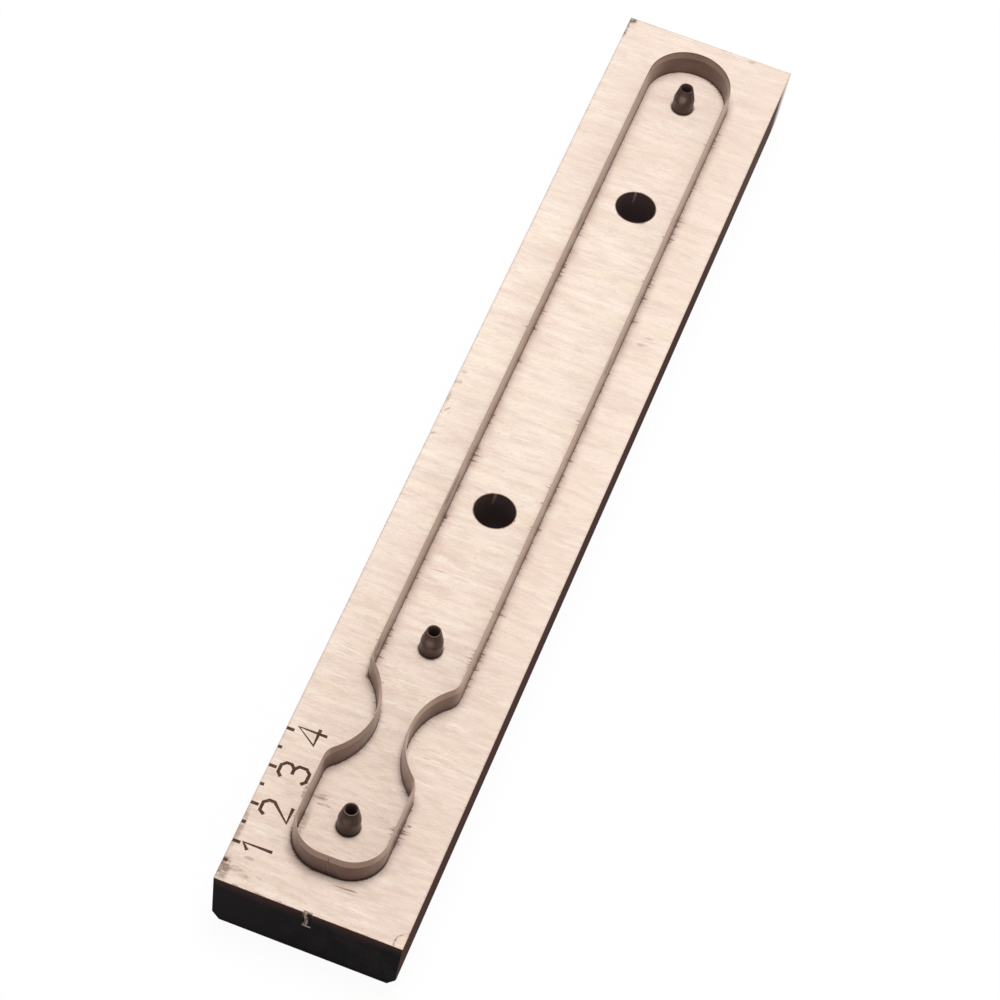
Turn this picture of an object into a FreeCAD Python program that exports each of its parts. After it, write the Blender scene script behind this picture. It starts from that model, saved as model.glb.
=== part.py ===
import FreeCAD, Part
import math
import os
import Sketcher

# Steel rule die that cuts a strap with a waist and a small head.
# Lengths are millimetres. The strap's middle is at the origin of X and Y, its head points along -Y,
# the board's underside is at Z 0 and the cutting edges point up.

doc = FreeCAD.newDocument("steel_rule_die")

# Driving dimensions: alias, value, meaning
sizes = (
    ("strap_length", 245.0, "outline of the cutting edge, along Y"),
    ("strap_width", 20.0, "outline of the cutting edge, along X"),
    ("end_margin", 10.5, "plywood beyond each end of the outline"),
    ("side_margin", 10.75, "plywood beyond each side of the outline"),
    ("board_thickness", 17.0, "plywood board, along Z"),
    ("side_draft", 0.5, "how far the cut sides lean in at the underside"),
    ("worn_corner", 2.2, "how far each lower corner is worn back along both edges"),
    ("worn_corner_height", 4.4, "about where that wear runs out"),
    ("worn_edge_radius", 1.3, "rounding of the board's lower edges"),
    ("tab_width", 2.0, "torn place where a tab held the board in its sheet"),
    ("tab_height", 5.5, "torn place, down from the board's top"),
    ("tab_depth", 0.5, "torn place, in from the board's near end"),
    ("waist_width", 7.7, "narrowest width of the outline"),
    ("waist_inset", 36.6, "from the head's end to the waist"),
    ("waist_radius", 16.2, "hollow bend at the waist"),
    ("shoulder_radius", 4.0, "full bends on both sides of the waist"),
    ("corner_radius", 8.0, "bends at the head's end"),
    ("rule_height", 23.8, "cutting rule, back to edge"),
    ("rule_thickness", 0.71, "cutting rule"),
    ("bevel_height", 1.8, "height of the two bevels that form the edge"),
    ("edge_width", 0.06, "flat left on the cutting edge"),
    ("butt_gap", 0.12, "between the rule's two ends"),
    ("kerf_clearance", 0.03, "each side of the rule in its kerf"),
    ("bridge_width", 6.0, "uncut wood that holds the board together"),
    ("bridge_inset", 14.0, "from each end of the body's straight sides to the nearest bridge"),
    ("bridge_count", 4, "bridges on each side of the body"),
    ("notch_side_clearance", 0.3, "each side of a bridge in the rule's notch"),
    ("notch_top_clearance", 0.3, "over a bridge in the rule's notch"),
    ("push_hole_diameter", 9.5, "holes for pushing the cut piece out"),
    ("near_hole_inset", 101.1, "from the head's end to the near push-out hole"),
    ("far_hole_inset", 46.8, "from the round end to the far push-out hole"),
    ("punch_diameter", 5.0, "body of a hole punch"),
    ("rim_diameter", 3.3, "outside of a punch at its cutting rim"),
    ("cone_height", 3.4, "tapered end of a punch"),
    ("punch_bore", 2.3, "hole through a punch at its cutting rim"),
    ("rim_width", 0.3, "flat left on a punch's cutting rim"),
    ("rim_bevel_height", 0.45, "bevel inside a punch's cutting rim"),
    ("slug_bore", 3.2, "wider hole below, where the slugs fall free"),
    ("bore_land", 8.0, "length of the narrow hole"),
    ("seat_clearance", 0.02, "around a punch in its seat"),
    ("head_punch_inset", 12.2, "from the head's end to its punch"),
    ("waist_punch_inset", 60.8, "from the head's end to the punch near the waist"),
    ("far_punch_inset", 11.9, "from the round end to its punch"),
)

sheet = doc.addObject("Spreadsheet::Sheet", "sizes")
for row, (alias, value, meaning) in enumerate(sizes, start=1):
    sheet.set(f"A{row}", meaning)
    sheet.set(f"B{row}", str(value))
    sheet.setAlias(f"B{row}", alias)
doc.recompute()


def size(alias):
    return float(getattr(sheet, alias))


# Formulas in the sheet's values, shared by the pieces that line up
half_length = "sizes.strap_length / 2"
half_width = "sizes.strap_width / 2"
kerf_width = "(sizes.rule_thickness + 2 * sizes.kerf_clearance)"
round_centre = "(sizes.strap_length / 2 - sizes.strap_width / 2)"
waist_place = "(sizes.waist_inset - sizes.strap_length / 2)"
waist_centre = "(sizes.waist_width / 2 + sizes.waist_radius)"
bend_reach = "(sizes.waist_radius + sizes.shoulder_radius)"
bend_spread = f"({waist_centre} - {half_width} + sizes.shoulder_radius)"
waist_half = f"sqrt({bend_reach} ^ 2 - {bend_spread} ^ 2)"
corner_place = "(sizes.corner_radius - sizes.strap_length / 2)"
head_bridge = f"(({corner_place} + {waist_place} - {waist_half}) / 2)"
first_bridge = f"({round_centre} - sizes.bridge_inset)"
last_bridge = f"({waist_place} + {waist_half} + sizes.bridge_inset)"
hole_places = [
    "(sizes.near_hole_inset - sizes.strap_length / 2)",
    "(sizes.strap_length / 2 - sizes.far_hole_inset)",
]
punch_places = {
    "punch_head": "(sizes.head_punch_inset - sizes.strap_length / 2)",
    "punch_waist": "(sizes.waist_punch_inset - sizes.strap_length / 2)",
    "punch_far": "(sizes.strap_length / 2 - sizes.far_punch_inset)",
}

origin = (-1, 1)
start = 1
end = 2
centre = 3


def new_body(name):
    body = doc.addObject("PartDesign::Body", name)
    body.Label = name
    return body


def new_sketch(body, name, role, offset=None):
    sketch = body.newObject("Sketcher::SketchObject", name)
    plane = next(p for p in body.Origin.OriginFeatures if p.Role == role)
    sketch.AttachmentSupport = [(plane, "")]
    sketch.MapMode = "FlatFace"
    if offset:
        sketch.setExpression("AttachmentOffset.Base.z", offset)
    doc.recompute()
    return sketch


def value_of(formula):
    return float(sheet.evalExpression(formula.replace("sizes.", "")))


# Bind one measure of a sketch to a formula
def bind(sketch, kind, *items, formula):
    index = sketch.addConstraint(Sketcher.Constraint(kind, *items, value_of(formula)))
    sketch.setExpression(f"Constraints[{index}]", formula)


# Hold a point of the sketch at two formulas, measured from the origin
def place(sketch, geometry, point, across=None, along=None):
    if across is not None:
        bind(sketch, "DistanceX", *origin, geometry, point, formula=across)
    if along is not None:
        bind(sketch, "DistanceY", *origin, geometry, point, formula=along)


# Closed polygon whose corners are pairs of formulas
def draw_polygon(sketch, corners):
    points = [FreeCAD.Vector(value_of(x), value_of(y), 0) for x, y in corners]
    lines = []
    for first, second in zip(points, points[1:] + points[:1]):
        lines.append(sketch.addGeometry(Part.LineSegment(first, second)))
    for line, following in zip(lines, lines[1:] + lines[:1]):
        sketch.addConstraint(Sketcher.Constraint("Coincident", line, end, following, start))
    for line, (x, y) in zip(lines, corners):
        place(sketch, line, start, x, y)


def draw_rectangle(sketch, x, y, width, height):
    low_x = f"{x} - ({width}) / 2"
    high_x = f"{x} + ({width}) / 2"
    low_y = f"{y} - ({height}) / 2"
    high_y = f"{y} + ({height}) / 2"
    corners = [(low_x, low_y), (high_x, low_y), (high_x, high_y), (low_x, high_y)]
    draw_polygon(sketch, corners)


def draw_circle(sketch, x, y, diameter):
    middle = FreeCAD.Vector(value_of(x), value_of(y), 0)
    circle = Part.Circle(middle, FreeCAD.Vector(0, 0, 1), value_of(diameter) / 2)
    index = sketch.addGeometry(circle)
    place(sketch, index, centre, x, y)
    bind(sketch, "Radius", index, formula=f"({diameter}) / 2")


# Centre line of the bent rule. It runs from the middle of the head's end up the right side,
# round the far end and down the left side. With a gap it is left open there.
def draw_outline(sketch, gap=None):
    long = value_of(half_length)
    wide = value_of(half_width)
    waist_x = value_of(waist_centre)
    waist_y = value_of(waist_place)
    hollow = size("waist_radius")
    shoulder = size("shoulder_radius")
    corner = size("corner_radius")
    shoulder_x = wide - shoulder
    turn = math.acos((waist_x - shoulder_x) / (hollow + shoulder))
    rise = (hollow + shoulder) * math.sin(turn)
    far_y = value_of(round_centre)
    gap_x = value_of(gap) / 2 if gap else 0
    chain = []

    def add_line(x1, y1, x2, y2):
        segment = Part.LineSegment(FreeCAD.Vector(x1, y1, 0), FreeCAD.Vector(x2, y2, 0))
        chain.append((sketch.addGeometry(segment), start, end))
        return chain[-1][0]

    def add_bend(x, y, radius, from_angle, to_angle):
        circle = Part.Circle(FreeCAD.Vector(x, y, 0), FreeCAD.Vector(0, 0, 1), radius)
        low, high = sorted((from_angle, to_angle))
        ends = (start, end) if from_angle < to_angle else (end, start)
        chain.append((sketch.addGeometry(Part.ArcOfCircle(circle, low, high)), *ends))
        return chain[-1][0]

    half_turn = math.pi
    quarter = math.pi / 2
    right = [
        add_line(gap_x, -long, wide - corner, -long),
        add_bend(wide - corner, corner - long, corner, -quarter, 0),
        add_line(wide, corner - long, wide, waist_y - rise),
        add_bend(shoulder_x, waist_y - rise, shoulder, 0, turn),
        add_bend(waist_x, waist_y, hollow, half_turn + turn, half_turn - turn),
        add_bend(shoulder_x, waist_y + rise, shoulder, -turn, 0),
        add_line(wide, waist_y + rise, wide, far_y),
    ]
    far = add_bend(0, far_y, wide, 0, half_turn)
    left = [
        add_line(-wide, far_y, -wide, waist_y + rise),
        add_bend(-shoulder_x, waist_y + rise, shoulder, half_turn, half_turn + turn),
        add_bend(-waist_x, waist_y, hollow, turn, -turn),
        add_bend(-shoulder_x, waist_y - rise, shoulder, half_turn - turn, half_turn),
        add_line(-wide, waist_y - rise, -wide, corner - long),
        add_bend(corner - wide, corner - long, corner, half_turn, 3 * quarter),
        add_line(corner - wide, -long, -gap_x, -long),
    ]
    for (piece, _, last), (following, first, _) in zip(chain, chain[1:]):
        sketch.addConstraint(Sketcher.Constraint("Tangent", piece, last, following, first))

    # Both sides take the same sizes
    for side, pieces in (("", right), ("-", left[::-1])):
        end_line, end_corner, head_line, head_bend, waist, body_bend, body_line = pieces
        inner_end = start if pieces is right else end
        place(sketch, end_line, inner_end, f"{side}({gap or 0}) / 2", f"-{half_length}")
        sketch.addConstraint(Sketcher.Constraint("Horizontal", end_line))
        sketch.addConstraint(Sketcher.Constraint("Vertical", head_line))
        sketch.addConstraint(Sketcher.Constraint("Vertical", body_line))
        bind(sketch, "Radius", end_corner, formula="sizes.corner_radius")
        bind(sketch, "Radius", head_bend, formula="sizes.shoulder_radius")
        bind(sketch, "Radius", body_bend, formula="sizes.shoulder_radius")
        bind(sketch, "Radius", waist, formula="sizes.waist_radius")
        place(sketch, head_line, start, across=f"{side}{half_width}")
        place(sketch, body_line, start, across=f"{side}{half_width}")
        place(sketch, waist, centre, f"{side}{waist_centre}", waist_place)
    place(sketch, far, centre, along=round_centre)


def add_feature(body, kind, name, profile):
    feature = body.newObject(kind, name)
    feature.Profile = profile
    profile.Visibility = False
    return feature


def pad(body, name, profile, length):
    feature = add_feature(body, "PartDesign::Pad", name, profile)
    feature.setExpression("Length", length)
    doc.recompute()
    return feature


# Cut upwards from the sketch
def pocket(body, name, profile, depth):
    feature = add_feature(body, "PartDesign::Pocket", name, profile)
    feature.Reversed = True
    feature.setExpression("Length", depth)
    doc.recompute()
    return feature


# Carry an upright section along a path
def sweep(body, kind, name, profile, path):
    feature = add_feature(body, kind, name, profile)
    feature.Spine = (path, [])
    doc.recompute()
    return feature


# Repeat the body's first bridge or notch towards the waist
def repeat_along_body(body, name, feature):
    pattern = body.newObject("PartDesign::LinearPattern", name)
    pattern.Originals = [feature]
    axis = next(p for p in body.Origin.OriginFeatures if p.Role == "Y_Axis")
    pattern.Direction = (axis, [""])
    pattern.Reversed = True
    pattern.setExpression("Length", f"{first_bridge} - {last_bridge}")
    pattern.setExpression("Occurrences", "sizes.bridge_count")
    body.Tip = pattern
    doc.recompute()
    return pattern


# Two like rectangles on the rule's straight sides, one on each wall
def draw_on_both_sides(sketch, along, width, height):
    draw_rectangle(sketch, half_width, along, width, height)
    draw_rectangle(sketch, f"-{half_width}", along, width, height)


# Plywood board with the laser-cut kerf, bridges, push-out holes and punch seats
board = new_body("die_board")

blank_sketch = new_sketch(board, "blank_sketch", "XY_Plane")
draw_rectangle(blank_sketch, "0", "0", "sizes.strap_width + 2 * sizes.side_margin",
               "sizes.strap_length + 2 * sizes.end_margin")
blank = pad(board, "blank", blank_sketch, "sizes.board_thickness")


# Names of the faces or edges that lie between two heights
def between(items, kind, low, high):
    tolerance = Part.Precision.confusion()
    return [
        f"{kind}{number}" for number, item in enumerate(items, start=1)
        if item.BoundBox.ZMin > low - tolerance and item.BoundBox.ZMax < high + tolerance
    ]


# The cut sides lean in towards the underside
thickness = size("board_thickness")
flat_faces = between(blank.Shape.Faces, "Face", 0, 0) + between(blank.Shape.Faces, "Face", thickness, thickness)
cut_faces = [name for name in between(blank.Shape.Faces, "Face", 0, thickness) if name not in flat_faces]
cut_sides = board.newObject("PartDesign::Draft", "cut_sides")
cut_sides.Base = (blank, cut_faces)
cut_sides.NeutralPlane = (blank, [flat_faces[-1]])
cut_sides.Reversed = True
cut_sides.setExpression("Angle", "atan(sizes.side_draft / sizes.board_thickness)")
doc.recompute()

# The lower corners are worn off at a slant, the same at all four, and then the lower edges are round
corner_sketch = new_sketch(board, "corner_sketch", "XZ_Plane")
corner_sketch.AttachmentOffset = FreeCAD.Placement(
    FreeCAD.Vector(value_of(f"{half_width} + sizes.side_margin"), 0,
                   value_of(f"{half_length} + sizes.end_margin")),
    FreeCAD.Rotation(FreeCAD.Vector(0, 1, 0), -45))
corner_sketch.setExpression("AttachmentOffset.Base.x", f"{half_width} + sizes.side_margin")
corner_sketch.setExpression("AttachmentOffset.Base.z", f"{half_length} + sizes.end_margin")
corner_depth = "(sizes.side_draft * sqrt(2) + sizes.worn_corner / sqrt(2))"
draw_polygon(corner_sketch, [
    (f"-{corner_depth}", "0"),
    (corner_depth, "0"),
    (corner_depth, "2 * sizes.worn_corner_height"),
])
worn_corner = add_feature(board, "PartDesign::Pocket", "worn_corner", corner_sketch)
worn_corner.Midplane = True
worn_corner.setExpression("Length", f"6 * {corner_depth}")
doc.recompute()
worn_corners = board.newObject("PartDesign::MultiTransform", "worn_corners")
worn_corners.Originals = [worn_corner]
mirrors = []
for role in ("YZ_Plane", "XZ_Plane"):
    mirror = board.newObject("PartDesign::Mirrored", f"across_{role}")
    mirror.MirrorPlane = (next(p for p in board.Origin.OriginFeatures if p.Role == role), [""])
    mirrors.append(mirror)
worn_corners.Transformations = mirrors
board.Tip = worn_corners
doc.recompute()
worn_edges = board.newObject("PartDesign::Fillet", "worn_edges")
worn_edges.Base = (worn_corners, between(worn_corners.Shape.Edges, "Edge", 0, 0))
worn_edges.setExpression("Radius", "sizes.worn_edge_radius")
doc.recompute()

# The board broke away here from the sheet that it was cut from
tab_sketch = new_sketch(board, "tab_sketch", "XY_Plane", offset="sizes.board_thickness - sizes.tab_height")
draw_rectangle(tab_sketch, "0", f"-({half_length} + sizes.end_margin)", "sizes.tab_width",
               "2 * sizes.tab_depth")
torn_tab = pocket(board, "torn_tab", tab_sketch, "sizes.tab_height * 1.2")

kerf_path = new_sketch(board, "kerf_path", "XY_Plane")
draw_outline(kerf_path)

kerf_section = new_sketch(board, "kerf_section", "YZ_Plane")
draw_rectangle(kerf_section, f"-{half_length}", "sizes.board_thickness / 2", kerf_width,
               "sizes.board_thickness * 1.2")
kerf = sweep(board, "PartDesign::SubtractivePipe", "kerf", kerf_section, kerf_path)

bridge_reach = f"{kerf_width} * 3"
bridge_sketch = new_sketch(board, "bridge_sketch", "XY_Plane")
draw_on_both_sides(bridge_sketch, first_bridge, bridge_reach, "sizes.bridge_width")
bridge = pad(board, "bridge", bridge_sketch, "sizes.board_thickness")
bridges = repeat_along_body(board, "bridges", bridge)

head_bridge_sketch = new_sketch(board, "head_bridge_sketch", "XY_Plane")
draw_on_both_sides(head_bridge_sketch, head_bridge, bridge_reach, "sizes.bridge_width")
head_bridges = pad(board, "head_bridges", head_bridge_sketch, "sizes.board_thickness")

hole_sketch = new_sketch(board, "hole_sketch", "XY_Plane")
for hole_place in hole_places:
    draw_circle(hole_sketch, "0", hole_place, "sizes.push_hole_diameter")
for punch_place in punch_places.values():
    draw_circle(hole_sketch, "0", punch_place, "sizes.punch_diameter + 2 * sizes.seat_clearance")
holes = pocket(board, "holes", hole_sketch, "sizes.board_thickness")

# Cutting rule, bent from one strip and butted at the head's end
rule = new_body("cutting_rule")

rule_path = new_sketch(rule, "rule_path", "XY_Plane")
draw_outline(rule_path, gap="sizes.butt_gap")

rule_section = new_sketch(rule, "rule_section", "YZ_Plane", offset="sizes.butt_gap / 2")
bevel_foot = "sizes.rule_height - sizes.bevel_height"
half_edge = "sizes.edge_width / 2"
half_thickness = "sizes.rule_thickness / 2"
draw_polygon(rule_section, [
    (f"-{half_length} - {half_thickness}", "0"),
    (f"-{half_length} + {half_thickness}", "0"),
    (f"-{half_length} + {half_thickness}", bevel_foot),
    (f"-{half_length} + {half_edge}", "sizes.rule_height"),
    (f"-{half_length} - {half_edge}", "sizes.rule_height"),
    (f"-{half_length} - {half_thickness}", bevel_foot),
])
strip = sweep(rule, "PartDesign::AdditivePipe", "strip", rule_section, rule_path)

notch_width = "sizes.bridge_width + 2 * sizes.notch_side_clearance"
notch_depth = "sizes.board_thickness + sizes.notch_top_clearance"
notch_reach = "sizes.rule_thickness * 3"
notch_sketch = new_sketch(rule, "notch_sketch", "XY_Plane")
draw_on_both_sides(notch_sketch, first_bridge, notch_reach, notch_width)
notch = pocket(rule, "notch", notch_sketch, notch_depth)
notches = repeat_along_body(rule, "notches", notch)

head_notch_sketch = new_sketch(rule, "head_notch_sketch", "XY_Plane")
draw_on_both_sides(head_notch_sketch, head_bridge, notch_reach, notch_width)
head_notches = pocket(rule, "head_notches", head_notch_sketch, notch_depth)


# Tubular punch, turned in one piece, with a tapered nose and a wider bore below
def make_punch(name, along):
    punch = new_body(name)
    profile = new_sketch(punch, f"{name}_profile", "XZ_Plane")
    outer = "sizes.punch_diameter / 2"
    rim = "sizes.rim_diameter / 2"
    top = "sizes.rule_height"
    draw_polygon(profile, [
        ("sizes.slug_bore / 2", "0"),
        (outer, "0"),
        (outer, f"{top} - sizes.cone_height"),
        (rim, top),
        (f"{rim} - sizes.rim_width", top),
        ("sizes.punch_bore / 2", f"{top} - sizes.rim_bevel_height"),
        ("sizes.punch_bore / 2", f"{top} - sizes.bore_land"),
        ("sizes.slug_bore / 2", f"{top} - sizes.bore_land - (sizes.slug_bore - sizes.punch_bore) / 2"),
    ])
    turned = add_feature(punch, "PartDesign::Revolution", f"{name}_turned", profile)
    turned.ReferenceAxis = (profile, ["V_Axis"])
    turned.Angle = 360
    doc.recompute()
    punch.setExpression("Placement.Base.y", along)
    doc.recompute()
    return punch


punches = [make_punch(name, along) for name, along in punch_places.items()]
pieces = [board, rule] + punches

doc.recompute()
for item in doc.Objects:
    if "Invalid" in item.State or "Error" in item.State:
        raise RuntimeError(f"{item.Label} is not up to date: {item.State}")
for piece in pieces:
    shape = piece.Shape
    if shape.isNull() or not shape.isValid() or not shape.Solids:
        raise RuntimeError(f"{piece.Label} has no valid solid")

os.makedirs("parts", exist_ok=True)
for piece in pieces:
    piece.Shape.exportStep(f"parts/{piece.Label}.step")
    box = piece.Shape.BoundBox
    print(piece.Label, "solids", len(piece.Shape.Solids), "volume", round(piece.Shape.Volume, 2))
    print("   X", round(box.XMin, 3), round(box.XMax, 3), "Y", round(box.YMin, 3), round(box.YMax, 3),
          "Z", round(box.ZMin, 3), round(box.ZMax, 3))
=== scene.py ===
import bpy
import bmesh
import math
from mathutils import Euler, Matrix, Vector


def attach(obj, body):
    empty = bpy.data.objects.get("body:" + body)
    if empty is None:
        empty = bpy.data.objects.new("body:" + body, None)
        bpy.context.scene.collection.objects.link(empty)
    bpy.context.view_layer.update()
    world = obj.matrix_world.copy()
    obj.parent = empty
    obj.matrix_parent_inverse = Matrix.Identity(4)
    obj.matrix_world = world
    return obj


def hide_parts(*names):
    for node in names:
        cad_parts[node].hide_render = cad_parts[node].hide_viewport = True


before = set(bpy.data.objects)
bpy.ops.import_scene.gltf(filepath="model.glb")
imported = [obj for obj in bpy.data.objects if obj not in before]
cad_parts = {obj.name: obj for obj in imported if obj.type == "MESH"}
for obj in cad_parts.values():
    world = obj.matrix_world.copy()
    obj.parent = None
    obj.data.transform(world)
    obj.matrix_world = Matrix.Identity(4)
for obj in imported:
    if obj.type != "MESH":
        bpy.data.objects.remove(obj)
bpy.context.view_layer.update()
scene = bpy.context.scene
mm = 0.001
print("frame loaded")

# Camera, lamps and backdrop: places and sizes in metres, turns in degrees, powers in watts
studio = {
    "cameraPlace": (0.096472, -0.527431, 0.707993),
    "cameraTurn": (36.3139, -6.9251, 20.0391),
    "lens": 140.85,  # millimetres
    "sensorWidth": 36,  # millimetres
    "skyLight": 0.38,
    "keyPlace": (0.0, 0.08, 0.93),
    "keySize": 0.5,
    "keyPower": 6.15,
    "fillPlace": (0.6, 0.05, 0.42),
    "fillSize": 0.6,
    "fillPower": 0.35,
    "floorSize": 8.0,
    "floorDrop": 0.00005,
    "floorPaper": 0.8,  # how much light the floor throws back onto the object
    "floorGlow": 0.95,  # how white the floor looks inside the object's shadow
    "floorTouch": 0.0004,  # light that starts nearer to the floor goes through it
}

# Sizes of the solids, in millimetres. The outline is the middle line of the bent rule
outline = {
    "halfWidth": 10.0,
    "headEnd": -122.5,
    "roundCentre": 112.5,
    "cornerRadius": 8.0,
    "shoulderRadius": 4.0,
    "waistRadius": 16.2,
    "waistPlace": -85.9,
    "waistHalf": 3.85,
    "buttGap": 0.12,
}
rule = {
    "thickness": 0.71,
    "height": 23.8,
    "bevelHeight": 1.8,
    "edgeWidth": 0.06,
    "kerfHalf": 0.385,
    "notchWidth": 6.6,
    "notchTop": 17.3,
    "notchInset": 14.0,
    "notchCount": 4,
    "bendStep": 0.55,  # length of one facet in a bend
    "fewestSteps": 6,
    "smoothAngle": 9,  # edges that are flatter, in degrees, are shaded smooth
    # where the rule's right face is darker: from and to along the board, and the side of the board
    "darkPlaces": ((-77, -67, -1), (-29, -18.5, -1), (58, 64, -1), (20, 27, 1)),
    "darkEase": 1.5,
    "darkHeights": (20.7, 21.4, 22.6, 23.2),  # none, full, full and none
}
board = {
    "halfWidth": 20.75,
    "halfLength": 133.0,
    "top": 17.0,
    "layer": 1.31,
    "layerShift": 0.35,
    "washedOutFrom": 124.0,  # the right side is painted near white between these places along the board, a painted highlight where light washes it out
    "washedOutTo": 132.0,
    "tabWidth": 2.0,  # the shallow pocket that a torn tab left at the near end
    "tabHeight": 5.5,
    "tabDepth": 0.5,
}
holes = {"radius": 4.75, "places": (-21.4, 75.7)}
punch = {
    "radius": 2.5,
    "rimRadius": 1.65,
    "boreRadius": 1.15,
    "slugRadius": 1.6,
    "coneHeight": 3.4,
    "rimWidth": 0.3,
    "rimBevel": 0.45,
    "boreLand": 8.0,
    "rounding": 0.22,
    "segments": 96,
    "sharpAngle": 28,  # edges that are steeper, in degrees, are shaded sharp
    "places": {"head": -110.3, "waist": -61.7, "far": 110.6},
    "wear": {"head": 0.5, "waist": 0.8, "far": 1.0},  # how much the painted highlight on the cone shows
}


# Screen colour, 0 to 255, as the linear colour that the shaders take
def rgb(red, green, blue):
    linear = [((value / 255 + 0.055) / 1.055) ** 2.4 for value in (red, green, blue)]
    return (*linear, 1)


# Link sockets, or set values, on the inputs of a node
def feed(tree, node, inputs):
    for key, value in inputs.items():
        if isinstance(value, bpy.types.NodeSocket):
            tree.links.new(value, node.inputs[key])
        else:
            node.inputs[key].default_value = value
    return node


def addNode(tree, kind, inputs=None, **settings):
    node = tree.nodes.new(kind)
    for name, value in settings.items():
        setattr(node, name, value)
    return feed(tree, node, inputs or {})


# First output of a new node
def made(tree, kind, inputs=None, **settings):
    return addNode(tree, kind, inputs, **settings).outputs[0]


def maths(tree, operation, *values):
    return made(tree, "ShaderNodeMath", dict(enumerate(values)), operation=operation)


def times(tree, *factors):
    product = factors[0]
    for factor in factors[1:]:
        product = maths(tree, "MULTIPLY", product, factor)
    return product


def minus(tree, value, taken):
    return maths(tree, "SUBTRACT", value, taken)


# How far two values are apart
def away(tree, value, other):
    return maths(tree, "ABSOLUTE", minus(tree, value, other))


def vector(tree, x=0.0, y=0.0, z=0.0):
    return made(tree, "ShaderNodeCombineXYZ", {0: x, 1: y, 2: z})


def split(tree, value):
    return addNode(tree, "ShaderNodeSeparateXYZ", {0: value}).outputs


# Start below low, end above high, eased between
def fade(tree, value, low, high, start=0.0, end=1.0):
    inputs = {"Value": value, "From Min": low, "From Max": high, "To Min": start, "To Max": end}
    return made(tree, "ShaderNodeMapRange", inputs, interpolation_type="SMOOTHSTEP")


def fadeMm(tree, value, low, high, start=0.0, end=1.0):
    return fade(tree, value, low * mm, high * mm, start, end)


# 1 between full and back, 0 below low and above high, in millimetres
def window(tree, value, low, full, back, high):
    return times(tree, fadeMm(tree, value, low, full), fadeMm(tree, value, back, high, 1, 0))


def tint(tree, base, colour, amount):
    inputs = {0: amount, 6: base, 7: colour}
    return addNode(tree, "ShaderNodeMix", inputs, data_type="RGBA").outputs[2]


# Layers of colour: each one covers the last by the product of its shares
class Paint:
    def __init__(self, tree, look, first):
        self.tree, self.look, self.colour = tree, look, look[first]

    def lay(self, tone, *shares):
        amount = times(self.tree, *shares)
        self.colour = tint(self.tree, self.colour, self.look[tone], amount)


# Noise whose spots are as long, in millimetres, as size says along X, Y and Z
def grain(tree, place, size, detail=2.0, roughness=0.5, shift=0.0):
    moved = made(tree, "ShaderNodeMapping", {
        "Vector": place, "Location": (shift, shift * 1.7, shift * 2.3),
        "Scale": [1 / (length * mm) for length in size]})
    inputs = {"Vector": moved, "Scale": 1.0, "Detail": detail, "Roughness": roughness}
    return made(tree, "ShaderNodeTexNoise", inputs)


# Oval mark on the board, 1 in its middle, with soft ends. Place and size are in millimetres
def spot(tree, place, at, size, turn=0.0, softness=0.6):
    centred = made(tree, "ShaderNodeVectorMath", {0: place, 1: (at[0] * mm, at[1] * mm, 0)},
                   operation="SUBTRACT")
    scaled = made(tree, "ShaderNodeMapping", {
        "Vector": centred, "Rotation": (0, 0, math.radians(turn)),
        "Scale": (size[0] * mm / 2, size[1] * mm / 2, 1)}, vector_type="TEXTURE")
    reach = addNode(tree, "ShaderNodeVectorMath", {0: scaled}, operation="LENGTH")
    return fade(tree, reach.outputs["Value"], 1 - softness, 1, 1, 0)


def newMaterial(name):
    material = bpy.data.materials.new(name)
    material.use_nodes = True
    shader = material.node_tree.nodes["Principled BSDF"]
    return material, material.node_tree, shader


def bumped(tree, height, distance):
    return made(tree, "ShaderNodeBump", {"Height": height, "Distance": distance * mm})


def addObject(name, data):
    added = bpy.data.objects.new(name, data)
    scene.collection.objects.link(added)
    return added


def quadMesh(name, corners):
    mesh = bpy.data.meshes.new(name)
    mesh.from_pydata(corners, [], [(0, 1, 2, 3)])
    return mesh


# Where the outline bends, for x >= 0: centre, radius, and the span along Y of each bend
def outlineBends():
    o = outline
    waistX = o["waistHalf"] + o["waistRadius"]
    shoulderX = o["halfWidth"] - o["shoulderRadius"]
    reach = o["waistRadius"] + o["shoulderRadius"]
    turn = math.acos((waistX - shoulderX) / reach)
    rise = reach * math.sin(turn)
    bodyFoot, headTop = o["waistPlace"] + rise, o["waistPlace"] - rise
    lift = o["shoulderRadius"] * math.sin(turn)
    cornerX, cornerY = o["halfWidth"] - o["cornerRadius"], o["headEnd"] + o["cornerRadius"]
    beyond = 999  # past either end of the board
    return {
        "turn": turn,
        "far": (0, o["roundCentre"], o["halfWidth"], o["roundCentre"], beyond),
        "bodyShoulder": (shoulderX, bodyFoot, o["shoulderRadius"], bodyFoot - lift, bodyFoot),
        "waist": (waistX, o["waistPlace"], o["waistRadius"], headTop + lift, bodyFoot - lift),
        "headShoulder": (shoulderX, headTop, o["shoulderRadius"], headTop, headTop + lift),
        "corner": (cornerX, cornerY, o["cornerRadius"], -beyond, cornerY),
    }


bends = outlineBends()


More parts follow.
